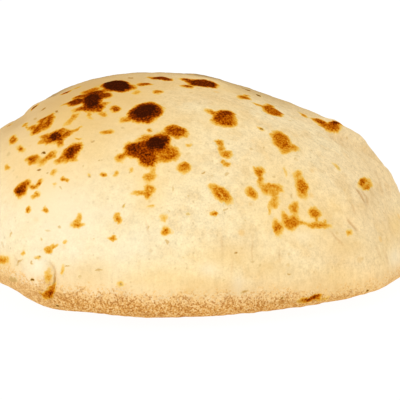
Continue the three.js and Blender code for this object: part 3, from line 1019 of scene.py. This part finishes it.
# %% [markdown]
# ## Crust finish
# The colour is built up in layers: cream dough with painted shade on its top, far slope and ridge,
# the tan of the lower skin, fine freckles, soft patches of flour, tan and painted shade, and last the
# scorch marks, the bran and the wrinkles, whose darker colour is partly painted shade. Every pattern
# reads the crust's own coordinates in millimetres, so the sizes below are real ones. The helpers keep
# each layer to a line or two, where a maker would add and link the nodes by hand.


# %% Helpers for building a finish
def paint(red, green, blue):
    """A colour from its 0 to 255 screen values, as the linear values that a shader takes."""
    parts = [value / 255 for value in (red, green, blue)]
    return [p / 12.92 if p <= 0.04045 else ((p + 0.055) / 1.055) ** 2.4 for p in parts] + [1]


class Bench:
    """Adds nodes to one node tree and links them."""

    def __init__(self, tree):
        self.tree = tree

    def set(self, socket, value):
        """Links a socket to another node's output, or sets its value."""
        if isinstance(value, bpy.types.NodeSocket):
            self.tree.links.new(value, socket)
        else:
            socket.default_value = value

    def node(self, kind, settings=None, **inputs):
        """A node of a kind, with settings on it and values or links on its inputs."""
        made = self.tree.nodes.new(kind)
        for name, value in (settings or {}).items():
            setattr(made, name, value)
        for name, value in inputs.items():
            self.set(made.inputs[name.replace("_", " ")], value)
        return made

    def math(self, operation, first, second=0.0, third=0.0, clamp=False):
        """A Math node's result."""
        made = self.tree.nodes.new("ShaderNodeMath")
        made.operation = operation
        made.use_clamp = clamp
        for socket, value in zip(made.inputs, (first, second, third)):
            self.set(socket, value)
        return made.outputs[0]

    def vector(self, operation, first, second=None, result="Vector"):
        """A Vector Math node's result."""
        made = self.tree.nodes.new("ShaderNodeVectorMath")
        made.operation = operation
        self.set(made.inputs[0], first)
        if second is not None:
            self.set(made.inputs[1], second)
        return made.outputs[result]

    def ease(self, value, start, end, low=0.0, high=1.0):
        """Runs smoothly from low to high as a value goes from start to end."""
        made = self.node(
            "ShaderNodeMapRange",
            {"interpolation_type": "SMOOTHSTEP", "clamp": False},
            Value=value,
            From_Min=start,
            From_Max=end,
            To_Min=low,
            To_Max=high,
        )
        return made.outputs["Result"]

    def mix(self, share, below, above, blend="MIX"):
        """One colour laid over another by a share."""
        made = self.tree.nodes.new("ShaderNodeMix")
        made.data_type = "RGBA"
        made.blend_type = blend
        self.set(made.inputs[0], share)
        self.set(made.inputs[6], below)
        self.set(made.inputs[7], above)
        return made.outputs[2]

    def noise(self, place, size, detail=2.0, roughness=0.5):
        """A cloud pattern whose clouds are about a size across, in millimetres."""
        return self.node(
            "ShaderNodeTexNoise",
            Vector=place,
            Scale=1 / size,
            Detail=detail,
            Roughness=roughness,
        )

    def ramp(self, value, tones):
        """The colour that a value picks from tones set along a colour ramp."""
        made = self.node("ShaderNodeValToRGB", Fac=value)
        stops = made.color_ramp.elements  # a new ramp has its first and last stops already
        for position, tone in tones.items():
            stop = stops.new(position) if 0 < position < 1 else stops[-round(position)]
            stop.color = tone
        return made.outputs["Color"]

    def swing(self, place, size, strength, detail=2.0, roughness=0.5):
        """A cloud pattern that swings either way from 0, by about a third of a strength at most."""
        clouds = self.noise(place, size, detail, roughness).outputs["Fac"]
        return self.math("MULTIPLY", self.math("SUBTRACT", clouds, 0.5), strength)

    def kept(self, name):
        """The value that the crust's points keep under a name."""
        return self.node("ShaderNodeAttribute", {"attribute_name": name}).outputs["Fac"]


def new_group(name, inputs, outputs):
    """A shader node group with named sockets: its bench, its input node and its output node."""
    group = bpy.data.node_groups.new(name, "ShaderNodeTree")
    for socket, kind in inputs.items():
        group.interface.new_socket(socket, in_out="INPUT", socket_type="NodeSocket" + kind)
    for socket, kind in outputs.items():
        group.interface.new_socket(socket, in_out="OUTPUT", socket_type="NodeSocket" + kind)
    bench = Bench(group)
    return bench, bench.node("NodeGroupInput"), bench.node("NodeGroupOutput")


# %% [markdown]
# ### Soft mark group
# One mark is a soft ellipse. Dot products with its three axes, each divided by its half size, carry
# a place into the ellipse's own frame. There it is a ball of radius 1, and the mark falls off across
# the ball's surface. The marks are chained: each passes on the stronger of itself and the marks
# before it, and a little more where two overlap, so that neighbours melt into one.

# %% Build the soft mark group
HALO = 2.4  # how far a fully soft mark spreads past its ellipse, in half sizes
CORE = 1.1  # and how far inside it the fall-off begins
STEEPNESS = 1.5

bench, given, result = new_group(
    "soft_mark",
    {
        "Place": "Vector",
        "Centre": "Vector",
        "Along": "Vector",
        "Across": "Vector",
        "Out": "Vector",
        "Softness": "Float",
        "Strength": "Float",
        "So Far": "Float",
    },
    {"Strength": "Float"},
)
offset = bench.vector("SUBTRACT", given.outputs["Place"], given.outputs["Centre"])
reach = [
    bench.vector("DOT_PRODUCT", offset, given.outputs[axis], "Value")
    for axis in ("Along", "Across", "Out")
]
into_mark = bench.node("ShaderNodeCombineXYZ", X=reach[0], Y=reach[1], Z=reach[2])
inside = bench.ease(
    bench.vector("LENGTH", into_mark.outputs["Vector"], result="Value"),
    bench.math("MULTIPLY_ADD", given.outputs["Softness"], HALO, 1.0),
    bench.math("MULTIPLY_ADD", given.outputs["Softness"], -CORE, 1.0),
)
profile = bench.math("POWER", inside, STEEPNESS)
own = bench.math("MULTIPLY", profile, given.outputs["Strength"])
stronger = bench.math("MAXIMUM", own, given.outputs["So Far"])
weaker = bench.math("MINIMUM", own, given.outputs["So Far"])
left_over = bench.math("SUBTRACT", 1.0, stronger)
joint = bench.math("MULTIPLY", bench.math("MULTIPLY", weaker, left_over), JOINING)
bench.set(result.inputs["Strength"], bench.math("ADD", stronger, joint))
soft_mark = bench.tree
print("nodes in a soft mark:", len(soft_mark.nodes))

# %% [markdown]
# ### Freckle group
# Flour and bran leave specks all over the skin. A Voronoi pattern gives each cell of the skin one
# speck, and the cell's own random colour decides which cells keep theirs and how strong it is.

# %% Build the freckle group
bench, given, result = new_group(
    "freckles",
    {"Place": "Vector", "Spacing": "Float", "Radius": "Float", "Share": "Float"},
    {"Amount": "Float"},
)
cells = bench.node(
    "ShaderNodeTexVoronoi",
    Vector=given.outputs["Place"],
    Scale=bench.math("DIVIDE", 1.0, given.outputs["Spacing"]),
)
apart = bench.math("MULTIPLY", cells.outputs["Distance"], given.outputs["Spacing"])
speck = bench.ease(
    apart,
    bench.math("MULTIPLY", given.outputs["Radius"], 1.5),
    bench.math("MULTIPLY", given.outputs["Radius"], 0.4),
)
luck = bench.node("ShaderNodeSeparateColor", Color=cells.outputs["Color"])
kept = bench.math("LESS_THAN", luck.outputs["Red"], given.outputs["Share"])
strength = bench.ease(luck.outputs["Green"], 0.0, 1.0, 0.3, 1.0)
amount = bench.math("MULTIPLY", bench.math("MULTIPLY", speck, kept), strength)
bench.set(result.inputs["Amount"], amount)
freckles = bench.tree
print("nodes in the freckles:", len(freckles.nodes))

# %% [markdown]
# ### Base colours
# The left of the loaf has more flour on it and is paler, and the right is warmer. The top and the
# far slope are painted a duller biscuit, as painted shade where they get less light. Clouds shift the
# borders between the tones, so that none of them is a straight line.

# %% Start the crust finish
crust_finish = bpy.data.materials.new("crust")
crust_finish.use_nodes = True
bench = Bench(crust_finish.node_tree)
shader = crust_finish.node_tree.nodes["Principled BSDF"]
coordinates = bench.node("ShaderNodeTexCoord")
place = bench.vector("DIVIDE", coordinates.outputs["Object"], (MM, MM, MM))
above_sand = bench.kept("above_sand")
axes = bench.node("ShaderNodeSeparateXYZ", Vector=place)
print("finish:", crust_finish.name)

# %% Mix the dough's own colours
FLOURY = paint(253, 238, 205)
CREAM = paint(250, 229, 182)
WARM = paint(249, 219, 166)
BISCUIT_AND_SHADE = paint(236, 202, 144)
RIDGE_SHADE = paint(176, 142, 92)

along = bench.math("ADD", axes.outputs["X"], bench.swing(place, 22, 120.0, detail=3))
floury = bench.ease(along, -15.0, -85.0)
warm = bench.ease(along, 0.0, 95.0)
dough = bench.mix(floury, CREAM, FLOURY)
dough = bench.mix(warm, dough, WARM)
# Painted shade: the top and the far slope turn towards the biscuit tone, where they get less light.
height = bench.math("ADD", axes.outputs["Z"], bench.swing(place, 14, 26.0))
dough = bench.mix(bench.ease(height, 62.0, 80.0, 0.0, 0.85), dough, BISCUIT_AND_SHADE)
depth = bench.math("ADD", axes.outputs["Y"], bench.swing(place, 12, 24.0))
dough = bench.mix(bench.ease(depth, 0.0, 26.0, 0.0, 0.75), dough, BISCUIT_AND_SHADE)
tinged = bench.noise(place, 8, detail=3, roughness=0.6).outputs["Fac"]
patchy = bench.ease(along, -60.0, 60.0, 0.2, 0.6)
patches = bench.math("MULTIPLY", bench.ease(tinged, 0.46, 0.7), patchy)
dough = bench.mix(patches, dough, BISCUIT_AND_SHADE)
print("nodes so far:", len(crust_finish.node_tree.nodes))

# %% [markdown]
# The painted shade of the ridge rises quickly as the skin turns over towards the back, and fades
# down the slope behind. It also fades towards the right end and the foot.

# %% Paint shade on the ridge
facing_back = bench.kept("facing_back")
ridge_shade = bench.ease(facing_back, -0.3, -0.04, 0.0, 0.9)
for fade in (
    bench.ease(facing_back, 0.45, 0.02, 0.1, 1.0),
    bench.ease(axes.outputs["X"], 64.0, 8.0, 0.08, 1.0),
    bench.ease(height, 18.0, 44.0, 0.2, 1.0),
):
    ridge_shade = bench.math("MULTIPLY", ridge_shade, fade)
# Painted shade: the ridge darkens towards a dull tan where the skin turns away from the lights.
dough = bench.mix(ridge_shade, dough, RIDGE_SHADE)
print("nodes so far:", len(crust_finish.node_tree.nodes))

# %% [markdown]
# Up close the dough is mottled, from clouds a few millimetres across down to single grains of flour.
# Low on the front faint streaks run upwards, where the skin was stretched. The mottle multiplies the
# colour, so it makes the skin lighter or darker and leaves its hue.

# %% Mottle the dough
STREAKS = (0.9, 0.9, 0.11)

mottle = bench.noise(place, 2.4, detail=4, roughness=0.65).outputs["Fac"]
lower = bench.ease(above_sand, 22.0, 2.0)
streak = bench.swing(bench.vector("MULTIPLY", place, STREAKS), 1.0, 0.34)
shade = bench.math("ADD", bench.ease(mottle, 0.2, 0.8, 0.88, 1.1), bench.swing(place, 0.7, 0.34, detail=1))
shade = bench.math("ADD", shade, bench.math("MULTIPLY", streak, lower))
coarse = bench.ease(along, -60.0, 40.0, 0.75, 1.2)
shade = bench.math("MULTIPLY_ADD", bench.math("SUBTRACT", shade, 1.0), coarse, 1.0)
shade_colour = bench.node("ShaderNodeCombineColor", Red=shade, Green=shade, Blue=shade)
dough = bench.mix(1.0, dough, shade_colour.outputs["Color"], "MULTIPLY")
print("nodes so far:", len(crust_finish.node_tree.nodes))

# %% [markdown]
# ### Sandy lower skin
# Semolina from the oven floor stuck to the damp dough and toasted there. It is thick at the foot
# and scattered at its upper edge, so the edge is dithered by the grains themselves.

# %% Toast the lower skin
SAND = paint(242, 196, 131)
TAN = paint(222, 163, 86)
TOAST_AND_FOOT_SHADE = paint(174, 104, 38)
HUSKS = paint(252, 214, 150)
GRAIN = 0.65

cells = bench.node("ShaderNodeTexVoronoi", Vector=place, Scale=1 / GRAIN)
luck = bench.node("ShaderNodeSeparateColor", Color=cells.outputs["Color"])
scatter = bench.math("MULTIPLY", bench.math("SUBTRACT", luck.outputs["Red"], 0.5), 5.0)
ragged = bench.math("ADD", above_sand, bench.swing(place, 6.0, 7.0, detail=3))
haze = bench.ease(ragged, 9.0, -1.0, 0.0, 0.5)
band = bench.ease(bench.math("ADD", ragged, scatter), 1.0, -1.0)
grains = bench.math("MULTIPLY_ADD", luck.outputs["Green"], 0.85, 0.09)
toast = bench.math("ADD", grains, bench.swing(place, 0.6, 2.4, detail=1))
toast = bench.math("ADD", toast, bench.swing(place, 3.2, 1.0, detail=2))
sideways = bench.math("ABSOLUTE", bench.math("SUBTRACT", axes.outputs["X"], 10.0))
pressed = bench.ease(sideways, 75.0, 48.0, 0.4, 1.0)
sandy = bench.mix(bench.math("MULTIPLY", bench.ease(ragged, 0.0, -5.0), pressed), SAND, TAN)
buried = bench.math("MULTIPLY", bench.ease(ragged, 3.0, -3.0, 0.3, 1.0), pressed)
sandy = bench.mix(bench.math("MULTIPLY", bench.ease(toast, 0.55, 1.0, 0.0, 0.8), buried), sandy, TOAST_AND_FOOT_SHADE)
sandy = bench.mix(bench.ease(toast, 0.42, 0.1, 0.0, 0.7), sandy, HUSKS)
# Partly toast and partly painted shade: the last two millimetres above the table darken, where the loaf
# meets it.
sandy = bench.mix(bench.ease(axes.outputs["Z"], 2.0, 0.5, 0.0, 0.5), sandy, TOAST_AND_FOOT_SHADE)
colour = bench.mix(haze, dough, SAND)
colour = bench.mix(band, colour, sandy)
print("nodes so far:", len(crust_finish.node_tree.nodes))

# %% [markdown]
# ### Freckles
# Three sizes of freckle lie over the whole skin: small bran, larger husks and wide spots of gold.


# %% Sprinkle the freckles
BRAN = paint(160, 124, 72)
HUSK = paint(204, 162, 88)
GOLD = paint(238, 184, 96)


def sprinkle(colour, spacing, radius, share, tone, strength):
    """Freckles of one size laid over a colour."""
    made = bench.node("ShaderNodeGroup", {"node_tree": freckles}, Place=place, Spacing=spacing)
    bench.set(made.inputs["Radius"], radius)
    bench.set(made.inputs["Share"], share)
    return bench.mix(bench.math("MULTIPLY", made.outputs["Amount"], strength), colour, tone)


colour = sprinkle(colour, 2.2, 0.42, 0.35, BRAN, 0.35)
colour = sprinkle(colour, 4.5, 0.7, 0.4, HUSK, 0.5)
colour = sprinkle(colour, 9.0, 1.2, 0.3, GOLD, 0.6)
print("nodes so far:", len(crust_finish.node_tree.nodes))

# %% [markdown]
# ### Scorch marks
# A mark never ends in a clean curve. The marks read a place that clouds of two sizes have shifted by
# up to a millimetre, which frays their edges, and each mark is one soft mark node in a chain.


# %% Fray the edges of the marks
FRAYS = {3.6: 2.4, 1.2: 1.1}  # the size of the clouds, and how far they shift a place
SOFTEST = 0.85

frayed = place
for size, reach in FRAYS.items():
    clouds = bench.noise(place, size, detail=1).outputs["Color"]
    centred = bench.vector("SUBTRACT", clouds, (0.5, 0.5, 0.5))
    frayed = bench.vector("ADD", frayed, bench.vector("MULTIPLY", centred, (reach, reach, reach)))
print("clouds that fray the marks:", len(FRAYS))


def chain(marks, place, fall_off):
    """Chains soft marks, and gives the strength that they add up to."""
    strength = 0.0
    for mark in marks:
        along, across, out = (axis * MM / half for axis, half in zip(mark["axes"], mark["half"]))
        made = bench.node(
            "ShaderNodeGroup",
            {"node_tree": soft_mark},
            Place=place,
            Centre=mark["place"] / MM,
            Along=along,
            Across=across,
            Out=out,
            Softness=min(SOFTEST, fall_off / mark["half"][1]),
            Strength=mark["strength"],
            So_Far=strength,
        )
        strength = made.outputs["Strength"]
    return strength


# %% [markdown]
# The soft patches go on before the scorches: flour first, then the blushes, and the tan and painted
# shade over both.

# %% Lay the soft patches over the crust
FLOURED = paint(254, 244, 214)
SHADED_TAN = paint(212, 172, 112)
BLUSHED = paint(250, 209, 130)

for name, tone in (("floury", FLOURED), ("blushed", BLUSHED), ("tanned_and_shaded", SHADED_TAN)):
    colour = bench.mix(bench.kept(name), colour, tone)
print("nodes so far:", len(crust_finish.node_tree.nodes))

# %% [markdown]
# As skin heats, it turns from cream through gold and orange-brown to black, and a colour ramp holds
# those steps. Inside a mark the heat is mottled, because flour grains keep small spots cooler. The
# marks are mixed in with Darken, so a mark's pale rim can't lighten skin that is already tan.

# %% Scorch the crust
FALL_OFF = 1.0 * MM
COOL_FALL_OFF = 0.5 * MM
HEAT_COLOURS = {
    0.00: paint(251, 226, 168),
    0.12: paint(248, 211, 134),
    0.24: paint(239, 187, 84),
    0.36: paint(226, 157, 42),
    0.50: paint(208, 121, 10),
    0.62: paint(180, 87, 2),
    0.76: paint(146, 55, 0),
    0.88: paint(103, 36, 2),
    1.00: paint(60, 20, 5),
}

heat = chain(scorches, frayed, FALL_OFF)
kept = bench.math("SUBTRACT", 1.0, chain(cooled, frayed, COOL_FALL_OFF))
heat = bench.math("MULTIPLY", heat, kept)
speckle = bench.swing(place, 0.7, 6.0, detail=2, roughness=0.6)
room = bench.math("MULTIPLY", heat, bench.math("MULTIPLY", heat, bench.math("SUBTRACT", 1.08, heat)))
mottled = bench.math("ADD", heat, bench.math("MULTIPLY", speckle, room), clamp=True)

scorched = bench.ramp(mottled, HEAT_COLOURS)
colour = bench.mix(bench.ease(mottled, 0.02, 0.2), colour, scorched, "DARKEN")
print("marks in the chain:", len(scorches) + len(cooled))

# %% [markdown]
# The bran has a ramp of its own, through straw and olive brown. The wrinkles aren't frayed, because
# the skin creased in clean lines. Their darker, browner colour is partly browning and partly painted
# shade in the creases.

# %% Darken the flecks, and paint shade into the wrinkles
FLECK_FALL_OFF = 0.22 * MM
WRINKLE_FALL_OFF = 0.3 * MM
WRINKLE_SHADE_SHARE = 0.6
BRAN_COLOURS = {
    0.00: paint(250, 226, 172),
    0.20: paint(234, 204, 146),
    0.40: paint(214, 172, 104),
    0.60: paint(186, 132, 54),
    0.80: paint(148, 96, 22),
    1.00: paint(92, 62, 12),
}
WRINKLE_SHADE_TONE = paint(186, 128, 56)

flecked = chain(flecks, frayed, FLECK_FALL_OFF)
browned = bench.ramp(flecked, BRAN_COLOURS)
colour = bench.mix(bench.ease(flecked, 0.0, 0.25), colour, browned, "DARKEN")
crease_shade = chain(wrinkles, place, WRINKLE_FALL_OFF)
# Partly browning and partly painted shade: the creases darken towards a dull brown.
colour = bench.mix(bench.math("MULTIPLY", crease_shade, WRINKLE_SHADE_SHARE), colour, WRINKLE_SHADE_TONE)
bench.set(shader.inputs["Base Color"], colour)
print("marks in the other chains:", len(flecks) + len(wrinkles))

# %% [markdown]
# ### Surface
# Baked dough is matt all over, and a charred blister is a little less rough than the rest. The
# mottle and the grains of the lower skin also press a fine bump into the surface.

# %% Finish the surface
PIT_DEPTH = 0.5 * MM

bench.set(shader.inputs["Roughness"], bench.ease(mottled, 0.2, 1.0, 0.95, 0.75))
shader.inputs["Specular IOR Level"].default_value = 0.0
grit = bench.math("MULTIPLY", bench.math("MULTIPLY", luck.outputs["Red"], band), 0.5)
pits = bench.math("ADD", mottle, grit)
bump = bench.node("ShaderNodeBump", Height=pits, Strength=0.8, Distance=PIT_DEPTH)
bench.set(shader.inputs["Normal"], bump.outputs["Normal"])
crust.data.materials.append(crust_finish)
print("nodes in the crust finish:", len(crust_finish.node_tree.nodes))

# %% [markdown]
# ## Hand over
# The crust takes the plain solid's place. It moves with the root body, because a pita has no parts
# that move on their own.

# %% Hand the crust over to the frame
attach(crust, "root")
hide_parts("pita_bread")
